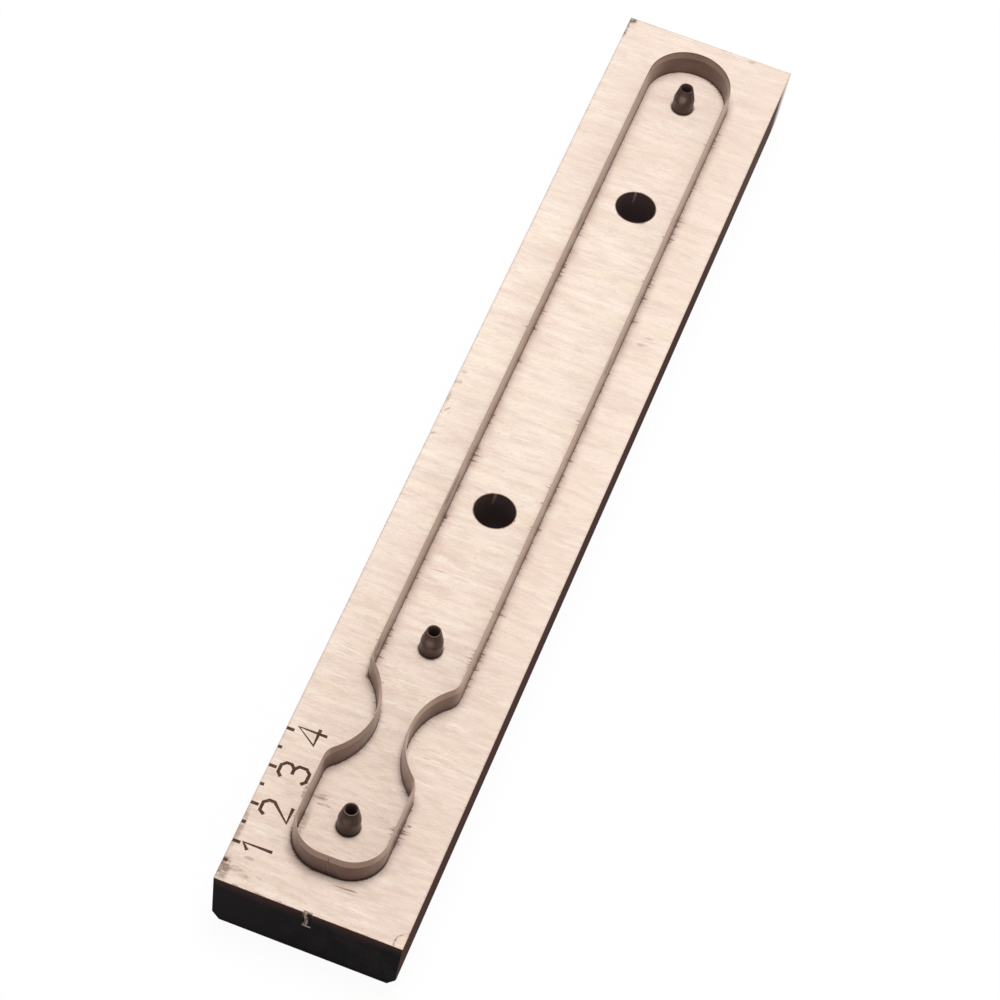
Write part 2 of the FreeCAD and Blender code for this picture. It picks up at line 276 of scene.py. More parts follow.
# Points along the rule's middle line, from the butt joint up the right side and back down the left,
# each with how strongly the strip is bent there
def outlinePoints():
    turn = bends["turn"]
    halfGap = outline["buttGap"] / 2
    quarter = math.pi / 2
    right = [(halfGap, outline["headEnd"], 0.0)]

    def follow(name, fromAngle, toAngle):
        x, y, radius = bends[name][:3]
        steps = round(abs(toAngle - fromAngle) * radius / rule["bendStep"])
        steps = max(rule["fewestSteps"], steps)
        for step in range(steps + 1):
            angle = fromAngle + (toAngle - fromAngle) * step / steps
            bend = 1.0 if 0 < step < steps else 0.5
            right.append((x + radius * math.cos(angle), y + radius * math.sin(angle), bend))

    follow("corner", -quarter, 0)
    follow("headShoulder", 0, turn)
    follow("waist", math.pi + turn, math.pi - turn)
    follow("bodyShoulder", -turn, 0)
    follow("far", 0, quarter)
    # a bend starts where the last one ended, so doubled points go
    samePlace = 0.01
    kept = []
    for point in right:
        if not kept or math.dist(point[:2], kept[-1][:2]) > samePlace:
            kept.append(point)
    left = [(-x, y, bend) for x, y, bend in reversed(kept[:-1])]
    return kept + left


# Geometry Nodes tree with inputs of the kinds given, its input sockets and its output's
def newTree(name, inputs):
    tree = bpy.data.node_groups.new(name, "GeometryNodeTree")
    for label, kind in inputs.items():
        tree.interface.new_socket(name=label, in_out="INPUT", socket_type="NodeSocket" + kind)
    tree.interface.new_socket(name="Geometry", in_out="OUTPUT", socket_type="NodeSocketGeometry")
    return tree, tree.nodes.new("NodeGroupInput").outputs, tree.nodes.new("NodeGroupOutput").inputs


# Give the shape its material and hand it out of the tree
def endTree(tree, shape, given, result):
    whole = made(tree, "GeometryNodeRealizeInstances", {0: shape})
    painted = made(tree, "GeometryNodeSetMaterial", {0: whole, "Material": given["Material"]})
    tree.links.new(painted, result[0])


# Run a tree on a mesh, with its inputs by name, and keep the result as a plain object
def runTree(name, tree, source, values):
    carrier = addObject(name + "_source", source)
    modifier = carrier.modifiers.new("shape", "NODES")
    modifier.node_group = tree
    for item in tree.interface.items_tree:
        if item.in_out == "INPUT" and item.name in values:
            modifier[item.identifier] = values[item.name]
    carrier.update_tag()
    graph = bpy.context.evaluated_depsgraph_get()
    mesh = bpy.data.meshes.new_from_object(carrier.evaluated_get(graph), depsgraph=graph)
    mesh.name = name
    mesh.materials.clear()
    mesh.materials.append(values["Material"])
    mesh.polygons.foreach_set("material_index", [0] * len(mesh.polygons))
    bpy.data.objects.remove(carrier)
    return addObject(name, mesh)


# Plywood: birch face veneer above and below, charred wherever the laser cut through
def dieBoardMaterial():
    look = {
        "pale": rgb(253, 236, 221),
        "light": rgb(255, 247, 236),
        "cream": rgb(249, 233, 213),
        "warm": rgb(246, 229, 214),
        "pink": rgb(238, 216, 203),
        "streak": rgb(222, 200, 183),
        "pore": rgb(190, 160, 141),
        "fleck": rgb(140, 111, 98),
        "scorch": rgb(104, 70, 54),
        "burn": rgb(52, 33, 26),
        "char": rgb(37, 36, 38),
        "soot": rgb(44, 41, 42),
        "layer": rgb(54, 45, 41),
        "charRim": rgb(92, 58, 44),
        "charGlow": rgb(74, 55, 51),
        "litSideChar": rgb(90, 70, 65),
        "litSideFarEnd": rgb(116, 100, 92),
        "litHoleWall": rgb(114, 96, 94),
        "stain": rgb(222, 197, 184),
        "grime": rgb(92, 92, 82),
        "lifted": rgb(240, 214, 186),
        "shadeTone": rgb(228, 204, 190),
        "washedOut": rgb(255, 250, 244),
        "scratch": rgb(158, 104, 88),
        "torn": rgb(236, 210, 190),
        "tornShade": rgb(150, 108, 86),
    }
    material, tree, shader = newMaterial("birchPlywood")
    place = addNode(tree, "ShaderNodeTexCoord").outputs["Object"]
    axes = split(tree, place)
    facing = split(tree, addNode(tree, "ShaderNodeNewGeometry").outputs["True Normal"])
    cut = fade(tree, maths(tree, "ABSOLUTE", facing[2]), 0.8, 0.97, 1, 0)
    across = maths(tree, "ABSOLUTE", axes[0])

    # noises by name: length of a spot along X, Y and Z in millimetres, detail, roughness, shift
    fibreNoises = {
        "cloud": ((42, 9, 30), 3, 0.55, 11),
        "yellow": ((24, 5, 30), 2, 0.5, 41),
        "bands": ((22, 2.2, 30), 3, 0.6, 5),
        "streaks": ((4.4, 0.42, 9), 4, 0.7, 7),
        "dashes": ((3.6, 0.26, 9), 2, 0.5, 43),
        "pores": ((1.7, 0.2, 3), 3, 0.6, 13),
        "flecks": ((1.5, 0.24, 2), 2, 0.55, 17),
        "specks": ((0.8, 0.15, 2), 2, 0.6, 71),
        "blotches": ((6, 1.5, 9), 4, 0.65, 61),
        "glints": ((14, 1.4, 30), 3, 0.6, 97),
        "comb": ((9, 0.75, 9), 4, 0.75, 67),
        "tufts": ((12, 0.55, 9), 3, 0.7, 83),
    }
    plainNoises = {
        "waver": ((30, 8, 30), 1, 0.5, 3),
        "patches": ((13, 5, 20), 2, 0.6, 19),
        "spread": ((1.6, 0.7, 3), 3, 0.65, 23),
        "patchy": ((9, 6, 9), 2, 0.5, 29),
        "groups": ((12, 3.6, 9), 2, 0.6, 89),
        "soot": ((3.5, 3.5, 7), 3, 0.6, 31),
        "ragged": ((0.8, 0.9, 0.5), 3, 0.75, 47),
        "wander": ((20, 20, 2.4), 1, 0.5, 59),
        "ridges": ((0.5, 0.5, 14), 2, 0.5, 37),
    }
    noise = {name: grain(tree, place, *values) for name, values in plainNoises.items()}
    # the fibres run across the board and waver a little
    fibres = made(tree, "ShaderNodeVectorMath",
                  {0: place, 1: vector(tree, y=times(tree, noise["waver"], 2.2 * mm))})
    noise |= {name: grain(tree, fibres, *values) for name, values in fibreNoises.items()}

    towardsHead = fadeMm(tree, axes[1], 20, -125)
    towardsFar = fadeMm(tree, axes[1], 50, 120)

    # how much a noise shows between two of its levels
    def level(name, *limits):
        return fade(tree, noise[name], *limits)

    face = Paint(tree, look, "pale")
    face.lay("warm", level("cloud", 0.35, 0.62))
    face.lay("cream", level("yellow", 0.48, 0.7, 0, 0.8))
    face.lay("pink", level("bands", 0.44, 0.7, 0, 0.85))
    # painted shade: darker towards the head end
    face.lay("shadeTone", towardsHead, 0.5)
    face.lay("pink", towardsFar, 0.45)
    face.lay("light", level("glints", 0.48, 0.7, 0, 0.42))
    blotchDepth = maths(tree, "MULTIPLY_ADD", towardsHead, 0.45, 0.34)
    face.lay("streak", level("blotches", 0.46, 0.66), blotchDepth)
    face.lay("pore", level("specks", 0.52, 0.74, 0, 0.4))
    streakDepth = times(tree, fade(tree, towardsHead, 0, 1, 0.4, 0.85),
                        level("patches", 0.36, 0.62, 0.25, 1))
    face.lay("streak", level("streaks", 0.46, 0.64), streakDepth)
    face.lay("pore", level("dashes", 0.68, 0.76), level("patches", 0.45, 0.6, 0.05, 0.8))
    face.lay("pore", level("pores", 0.6, 0.78), level("patches", 0.3, 0.6, 0.2, 0.75), streakDepth)
    face.lay("fleck", level("flecks", 0.66, 0.76), level("patches", 0.52, 0.68), 0.5)

    # how far from the circle of a bend, seen from above
    def fromArc(x, y, radius):
        dx = minus(tree, across, x * mm)
        dy = minus(tree, axes[1], y * mm)
        squares = maths(tree, "MULTIPLY_ADD", dx, dx, times(tree, dy, dy))
        return away(tree, maths(tree, "SQRT", squares), radius * mm)

    # how far from the middle line of the rule: its straight walls, then its bends, then its head end
    distance = away(tree, across, outline["halfWidth"] * mm)
    for name in ("far", "bodyShoulder", "waist", "headShoulder", "corner"):
        x, y, radius, low, high = bends[name]
        within = times(tree, maths(tree, "GREATER_THAN", axes[1], low * mm),
                       maths(tree, "LESS_THAN", axes[1], high * mm))
        side, edge = ("LESS_THAN", x) if name == "waist" else ("GREATER_THAN", x - 0.001)
        within = times(tree, within, maths(tree, side, across, edge * mm))
        distance = made(tree, "ShaderNodeMix", {0: within, 2: distance, 3: fromArc(x, y, radius)})
    pastEnd = maths(tree, "GREATER_THAN", across, bends["corner"][0] * mm)
    fromEnd = maths(tree, "ADD", pastEnd, away(tree, axes[1], outline["headEnd"] * mm))
    distance = maths(tree, "MINIMUM", distance, fromEnd)
    fromKerf = minus(tree, distance, rule["kerfHalf"] * mm)

    # scorch beside a cut: near is how far it reaches for certain, far how far it may reach
    def scorch(fromCut, near, far, tone, depth, rough=noise["spread"], low=0.42, high=0.78):
        reach = times(tree, fade(tree, rough, low, high), level("patchy", 0.35, 0.7, 0.2, 1))
        limit = maths(tree, "MULTIPLY_ADD", reach, (far - near) * mm, near * mm)
        face.lay(tone, fade(tree, maths(tree, "DIVIDE", fromCut, limit), 0.25, 1, depth, 0))

    # painted shadow: the wood beside each long wall is browner and darker on its right, where the wall's
    # shadow falls, over real scorch stain on both sides
    fromWaist = away(tree, axes[1], outline["waistPlace"] * mm)
    outwards = minus(tree, across, outline["halfWidth"] * mm)
    onRight = fadeMm(tree, times(tree, maths(tree, "SIGN", axes[0]), outwards), -0.3, 0.3)
    onRight = times(tree, onRight, fadeMm(tree, fromWaist, 10, 14))
    stainAndShadow = times(tree, level("patchy", 0.42, 0.66, 0.3, 1), level("bands", 0.3, 0.6, 0.6, 1),
                    fade(tree, onRight, 0, 1, 0.25, 1))
    face.lay("stain", stainAndShadow, fadeMm(tree, fromKerf, 0.2, 3.2, 1, 0))
    # painted shadow: a darker halo beside each wall, wider on its right
    shadowHaloReach = fade(tree, onRight, 0, 1, 1.0 * mm, 2.1 * mm)
    face.lay("fleck", fade(tree, fromKerf, 0.2 * mm, shadowHaloReach, 0.15, 0))

    scorch(fromKerf, 0.15, 2.4, "fleck", 0.38, noise["comb"], 0.46, 0.78)
    ticks = times(tree, noise["tufts"], fade(tree, level("groups", 0.4, 0.62), 0, 1, 0.8, 1),
                  fadeMm(tree, fromWaist, 9, 14, 0.86, 1))
    scorch(fromKerf, 0.1, 3.0, "scorch", 0.68, ticks, 0.46, 0.69)
    headDepth = times(tree, fadeMm(tree, axes[1], -86, -112), 0.65,
                      fadeMm(tree, axes[1], -112, -119, 0.5, 1))
    scorch(fromKerf, 0.25, 1.4, "burn", headDepth)
    for y in holes["places"]:
        fromHole = minus(tree, fromArc(0, y, 0), holes["radius"] * mm)
        scorch(fromHole, 0.25, 0.9, "scorch", 0.75)
    for y in punch["places"].values():
        fromSeat = minus(tree, fromArc(0, y, 0), punch["radius"] * mm)
        scorch(fromSeat, 0.45, 1.1, "scorch", 0.8)
        scorch(fromSeat, 0.12, 0.26, "burn", 0.8)
    endMargin = minus(tree, board["halfLength"] * mm, maths(tree, "ABSOLUTE", axes[1]))
    sideMargin = minus(tree, board["halfWidth"] * mm, across)
    scorch(endMargin, 0.12, 0.9, "scorch", 0.6)
    scorch(sideMargin, 0.1, 1.6, "scorch", 0.5, noise["comb"], 0.54, 0.76)
    face.lay("fleck", fadeMm(tree, sideMargin, 0.1, 0.5, 0.2, 0))
    # painted shade: the right margin is a little darker
    face.lay("shadeTone", fadeMm(tree, axes[0], 11, 14, 0, 0.22))

    # single marks: place, and size along X and Y, in millimetres, turn in degrees, tone, depth
    marks = (
        ((-20.0, -129.8), (4.0, 9.0), 8, "scorch", 0.75),
        ((-20.4, -119.5), (2.2, 14.0), 0, "fleck", 0.6),
        ((-17.6, -129.1), (5.6, 2.0), 10, "fleck", 0.6),
        ((-15.3, -130.2), (3.0, 1.4), 0, "fleck", 0.55),
        ((-15.8, -125.8), (3.2, 1.2), 4, "fleck", 0.5),
        ((-12.4, -129.4), (2.0, 1.2), 4, "fleck", 0.35),
        ((-7.6, -105.9), (4.8, 2.0), 6, "fleck", 0.7),
        ((-6.4, -107.6), (4.6, 1.0), 3, "fleck", 0.7),
        ((-8.6, -113.0), (1.6, 9.0), 0, "fleck", 0.45),
        ((-11.2, -106.0), (1.6, 6.2), 0, "fleck", 0.6),
        ((11.6, -105.1), (1.3, 0.7), 0, "burn", 0.7),
        ((4.9, -124.5), (7.4, 0.42), 3, "scratch", 0.7),
        ((5.9, -124.35), (3.2, 0.36), 3, "fleck", 0.9),
        ((5.2, -125.3), (6.4, 0.5), 3, "scratch", 0.25),
        ((-9.4, -51.1), (0.9, 0.6), 0, "burn", 0.9),
        ((-9.2, -45.5), (0.8, 0.5), 0, "burn", 0.85),
        ((-5.4, -41.7), (6.2, 0.26), 6, "fleck", 0.7),
        ((-9.3, -27.6), (1.0, 1.5), 0, "burn", 0.85),
        ((-6.6, -0.7), (0.55, 0.9), 0, "fleck", 0.8),
        ((-20.4, -0.7), (1.1, 0.9), 30, "burn", 0.7),
        ((-19.6, 0.5), (3.6, 0.5), 54, "fleck", 0.55),
        ((-19.9, 9.0), (2.4, 2.2), 8, "fleck", 0.5),
        ((-19.6, 12.4), (2.0, 1.4), 8, "fleck", 0.45),
        ((-20.0, -6.9), (2.0, 0.8), 43, "fleck", 0.6),
        ((-19.4, 20.6), (2.2, 1.0), 4, "fleck", 0.35),
        ((-20.4, 4.0), (1.2, 5.0), 0, "fleck", 0.4),
        ((14.7, 37.2), (3.6, 1.2), 8, "fleck", 0.4),
        ((15.6, 39.6), (3.0, 0.7), 10, "fleck", 0.35),
        ((-20.0, 132.2), (2.6, 2.4), 0, "grime", 0.95),
        ((-20.6, 129.0), (1.5, 8.0), 0, "grime", 0.75),
        ((-19.4, 130.6), (2.4, 3.4), 0, "stain", 0.7),
        ((10.8, 132.3), (2.6, 1.4), 0, "grime", 0.35),
    )
    worn = level("spread", 0.3, 0.62)
    for at, size, turn, tone, depth in marks:
        shape = spot(tree, place, at, size, turn)
        face.lay(tone, shape, 1 if tone == "scratch" else worn, depth)

    # a chip that lifts off at the near right corner: a thin curved crack with fresher wood inside
    chip = {"centre": (21.2, -131.8, board["top"]), "radius": 2.7, "jitter": 0.7}
    fromChip = addNode(tree, "ShaderNodeVectorMath", {
        0: place, 1: [value * mm for value in chip["centre"]]}, operation="DISTANCE").outputs["Value"]
    jitter = minus(tree, noise["spread"], 0.5)
    fromChip = maths(tree, "MULTIPLY_ADD", jitter, chip["jitter"] * mm, fromChip)
    face.lay("lifted", fadeMm(tree, fromChip, 1.6, chip["radius"], 0.5, 0))
    crack = fadeMm(tree, away(tree, fromChip, chip["radius"] * mm), 0.05, 0.3, 1, 0)
    face.lay("fleck", crack, level("spread", 0.35, 0.6, 0.2, 0.85))

    # charred walls, with the layers faint below the soot and a browner rim at the top
    char = Paint(tree, look, "char")
    below = minus(tree, board["top"] * mm, axes[2])
    layers = maths(tree, "PINGPONG", maths(tree, "ADD", axes[2], board["layerShift"] * mm),
                   board["layer"] * mm)
    char.lay("soot", level("soot", 0.35, 0.7))
    char.lay("layer", fadeMm(tree, layers, 0.5, 0.8), level("soot", 0.4, 0.75, 0.05, 0.5))
    char.lay("soot", fadeMm(tree, axes[0], -18, 4, 0.9, 0))
    glowReach = times(tree, level("patchy", 0.3, 0.7, 3.0, 5.2), mm)
    char.lay("charGlow", fade(tree, below, 0, glowReach, 0.85, 0))
    # painted light: charred faces that point right are painted lighter and browner, and lighter still
    # towards the far end
    onSide = maths(tree, "GREATER_THAN", facing[0], 0.8)
    char.lay("litSideChar", onSide)
    char.lay("litSideFarEnd", onSide, fadeMm(tree, axes[1], 50, 115), 0.6)
    rimReach = times(tree, level("spread", 0.3, 0.7, 0.25, 0.9), mm)
    char.lay("charRim", fade(tree, below, 0, rimReach, 0.9, 0))
    notAtEnds = maths(tree, "LESS_THAN", maths(tree, "ABSOLUTE", axes[1]), 125 * mm)
    # painted light: the walls inside the push-out holes are painted lighter against the shade in them
    char.lay("litHoleWall", fadeMm(tree, across, 4.9, 5.1, 0.9, 0), notAtEnds)

    # painted highlight: the right side turns near white at its far end, as if washed out by light
    raggedY = maths(tree, "MULTIPLY_ADD", jitter, 2 * mm, axes[1])
    char.lay("washedOut", maths(tree, "GREATER_THAN", facing[0], 0.5),
             fadeMm(tree, raggedY, board["washedOutFrom"], board["washedOutTo"]))

    # pale wood where something was torn off: at the tab, and a streak in each push-out hole
    tear = {"place": -0.3, "wander": 2.4, "narrow": 0.1, "wide": 0.6}
    streak = {"place": -1.5, "wander": 0.3, "from": 3.5, "to": 5.2, "length": 4.4, "depth": 0.8}
    wander = times(tree, minus(tree, noise["wander"], 0.5), tear["wander"] * mm)
    fromTear = away(tree, maths(tree, "ADD", axes[0], wander), tear["place"] * mm)
    tearWidth = level("ragged", 0.3, 0.7, tear["narrow"] * mm, tear["wide"] * mm)
    inTear = fade(tree, maths(tree, "DIVIDE", fromTear, tearWidth), 0.6, 1.1, 1, 0)
    inTear = maths(tree, "MAXIMUM", inTear, fadeMm(tree, below, 0.4, 1.1, 1, 0))
    halfTab, tabBack = board["tabWidth"] / 2, board["tabDepth"] - board["halfLength"]
    tornPlace = times(
        tree, inTear, fadeMm(tree, across, halfTab, halfTab + 0.1, 1, 0),
        fadeMm(tree, axes[1], tabBack + 0.15, tabBack + 0.3, 1, 0),
        fadeMm(tree, below, board["tabHeight"] - 0.9, board["tabHeight"] + 0.4, 1, 0))
    for y in holes["places"]:
        start, end = y + streak["from"], y + streak["to"]
        wavy = maths(tree, "MULTIPLY_ADD", wander, streak["wander"], axes[0])
        inStreak = times(
            tree, fadeMm(tree, away(tree, wavy, streak["place"] * mm), 0.12, 0.4, 1, 0),
            fadeMm(tree, axes[1], start, start + 0.7), maths(tree, "LESS_THAN", axes[1], end * mm),
            fadeMm(tree, below, streak["length"] - 2, streak["length"], 1, 0), streak["depth"])
        tornPlace = maths(tree, "MAXIMUM", tornPlace, inStreak)
    torn = tint(tree, look["torn"], look["tornShade"], level("ragged", 0.5, 0.36))
    tornDepth = fadeMm(tree, below, 0.6, 1.6, 0.95, 0.55)
    walls = tint(tree, char.colour, torn, times(tree, tornPlace, tornDepth))

    onFace = minus(tree, 1, cut)
    height = maths(tree, "MULTIPLY_ADD", noise["streaks"], 0.6, noise["pores"])
    height = maths(tree, "MULTIPLY_ADD", height, onFace, times(tree, noise["ridges"], cut, 3))
    feed(tree, shader, {
        "Base Color": tint(tree, face.colour, walls, cut), "Roughness": 0.7,
        "Specular IOR Level": times(tree, onFace, 0.06), "Normal": bumped(tree, height, 0.03)})
    return material


# Brown-grey hardened strip with a ground bevel
def cuttingRuleMaterial():
    look = {
        "steel": rgb(106, 79, 67),
        "brown": rgb(88, 61, 50),
        "groundAndLitSteel": rgb(155, 129, 114),
        "bevelHighlight": rgb(214, 186, 168),
        "umberShade": rgb(84, 50, 36),
        "edge": rgb(104, 86, 77),
        "soot": rgb(50, 33, 27),
        "mark": rgb(58, 42, 36),
    }
    material, tree, shader = newMaterial("rolledSteelRule")
    place = addNode(tree, "ShaderNodeTexCoord").outputs["Object"]
    flat = made(tree, "ShaderNodeUVMap", uv_map="UVMap")
    axes = split(tree, place)
    facing = split(tree, addNode(tree, "ShaderNodeNewGeometry").outputs["True Normal"])
    sideways = maths(tree, "ABSOLUTE", facing[0])
    bend = addNode(tree, "ShaderNodeAttribute", attribute_name="bend").outputs["Fac"]
    rolled = grain(tree, flat, (9, 0.09, 1), 2, 0.5, 3)
    mottle = grain(tree, place, (5, 5, 2.4), 3, 0.6, 5)
    upright = grain(tree, flat, (0.7, 22, 1), 2, 0.6, 7)
    sootDots = grain(tree, place, (2.2, 1.3, 9), 3, 0.6, 53)

    steel = Paint(tree, look, "steel")
    steel.lay("brown", fade(tree, mottle, 0.35, 0.68))
    steel.lay("brown", fade(tree, upright, 0.45, 0.7), fade(tree, bend, 0, 1, 0.15, 0.8))
    steel.lay("groundAndLitSteel", fade(tree, rolled, 0.45, 0.75, 0, 0.18))
    # painted shade and reflection: redder and darker at the head and at the round end; painted light:
    # paler on the long walls between them, where they face sideways
    farShade = times(tree, fadeMm(tree, axes[1], 112, 119, 0, 0.8), fadeMm(tree, axes[0], -6, 4, 0.4, 1))
    shadedEnds = maths(tree, "MAXIMUM", fadeMm(tree, axes[1], -62, -84), farShade)
    steel.lay("groundAndLitSteel", fade(tree, sideways, 0.75, 0.95, 0, 0.4), minus(tree, 1, shadedEnds))
    steel.lay("umberShade", shadedEnds, 0.7)
    # ground bevel with a dull cutting edge
    top = rule["height"]
    bevelFoot = top - rule["bevelHeight"]
    onBevel = fadeMm(tree, axes[2], bevelFoot - 0.02, bevelFoot + 0.08)
    steel.lay("groundAndLitSteel", onBevel, 0.85)
    # painted highlight: the bevel is lighter where the wall faces sideways
    steel.lay("bevelHighlight", onBevel, fade(tree, sideways, 0.75, 0.95, 0, 0.26))
    dullEdge = fadeMm(tree, axes[2], top - 0.35, top - 0.1)
    steel.lay("edge", dullEdge, fadeMm(tree, axes[1], 100, 112, 0.15, 1))
    # the right face of the wall is darker below its edge at these places
    for low, high, side in rule["darkPlaces"]:
        ease = rule["darkEase"]
        fromFace = away(tree, axes[0], (side * outline["halfWidth"] + 0.19) * mm)
        steel.lay("mark", window(tree, axes[1], low, low + ease, high - ease, high),
                  maths(tree, "LESS_THAN", fromFace, 0.2 * mm),
                  window(tree, axes[2], *rule["darkHeights"]), 0.85)
    # soot and painted shade at the rule's foot above the board, most at the head; soot in the butt joint
    # and on a burr beside it
    foot = minus(tree, axes[2], board["top"] * mm)
    footReach = times(tree, fade(tree, mottle, 0.3, 0.7, 1.0, 3.4), mm)
    sootAndShade = maths(tree, "MAXIMUM", fadeMm(tree, axes[1], -100, -118, 0, 0.6),
                  fade(tree, sootDots, 0.52, 0.7, 0, 0.3))
    steel.lay("soot", sootAndShade, fade(tree, foot, 0, footReach, 1, 0))
    joint = fadeMm(tree, maths(tree, "ABSOLUTE", axes[0]), 0.08, 0.3, 0.6, 0)
    steel.lay("soot", joint, maths(tree, "LESS_THAN", axes[1], -120 * mm))
    burr = spot(tree, place, (1.5, -122.9), (2.6, 2.4))
    steel.lay("soot", burr, fadeMm(tree, foot, 0.8, 2.0, 1, 0))

    rough = maths(tree, "MULTIPLY_ADD", rolled, 0.12, 0.36)
    height = maths(tree, "MULTIPLY_ADD", upright, times(tree, bend, 1.5), rolled)
    feed(tree, shader, {
        "Base Color": steel.colour, "Metallic": 0.7, "Coat Weight": 0.8, "Coat Roughness": 0.28,
        "Roughness": maths(tree, "MULTIPLY_ADD", mottle, 0.1, rough),
        "Normal": bumped(tree, height, 0.006)})
    return material


# Turned and hardened, nearly black, with fine turning rings
def punchMaterial():
    look = {
        "body": rgb(92, 69, 61),
        "dark": rgb(62, 42, 34),
        "burnt": rgb(46, 30, 24),
        "rim": rgb(92, 72, 65),
        "worn": rgb(126, 112, 108),
        "bore": rgb(104, 80, 68),
    }
    material, tree, shader = newMaterial("hardenedPunch")
    place = addNode(tree, "ShaderNodeTexCoord").outputs["Object"]
    flat = made(tree, "ShaderNodeUVMap", uv_map="UVMap")
    axes = split(tree, place)
    inside = addNode(tree, "ShaderNodeAttribute", attribute_name="inside").outputs["Fac"]
    mottle = grain(tree, place, (2.2, 2.2, 2.2), 3, 0.6, 3)
    rings = grain(tree, flat, (40, 0.09, 1), 2, 0.5, 5)
    steel = Paint(tree, look, "body")
    steel.lay("dark", fade(tree, mottle, 0.35, 0.65))
    steel.lay("rim", fadeMm(tree, axes[2], 20.6, 22, 0, 0.6))
    steel.lay("dark", fadeMm(tree, axes[2], 23.3, 23.75, 0, 0.9))
    # darker towards the foot, most of all on the punch at the head
    steel.lay("dark", fadeMm(tree, axes[2], 17.5, 20.4, 0.9, 0))
    foot = fadeMm(tree, axes[2], 18.2, 21, 0.85, 0)
    steel.lay("burnt", foot, fadeMm(tree, axes[1], -100, -80, 1, 0.35))
    # painted highlight: a lighter spot on the side of each cone that faces the camera
    onCone = window(tree, axes[2], 20, 20.8, 22.2, 23)
    for name, along in punch["places"].items():
        worn = spot(tree, place, (0, along - 1.95), (2.4, 1.3), 0, 0.7)
        steel.lay("worn", worn, onCone, punch["wear"][name])
    # painted light: the bore is painted lighter than the body, against the shade inside it
    steel.lay("bore", inside)
    feed(tree, shader, {
        "Base Color": steel.colour, "Metallic": 0.7, "Coat Weight": 0.35, "Coat Roughness": 0.4,
        "Roughness": maths(tree, "MULTIPLY_ADD", mottle, 0.15, 0.42),
        "Normal": bumped(tree, rings, 0.006)})
    return material


# Wood in two tones, for the burnt scale and the torn splinters
def woodMaterial(name, look):
    material, tree, shader = newMaterial(name)
    place = addNode(tree, "ShaderNodeTexCoord").outputs["Object"]
    patches = fade(tree, grain(tree, place, *look["patches"]), *look["levels"])
    feed(tree, shader, {
        "Base Color": tint(tree, look["tone"], look["patchTone"], patches),
        "Roughness": 0.8, "Specular IOR Level": look["shine"]})
    return material


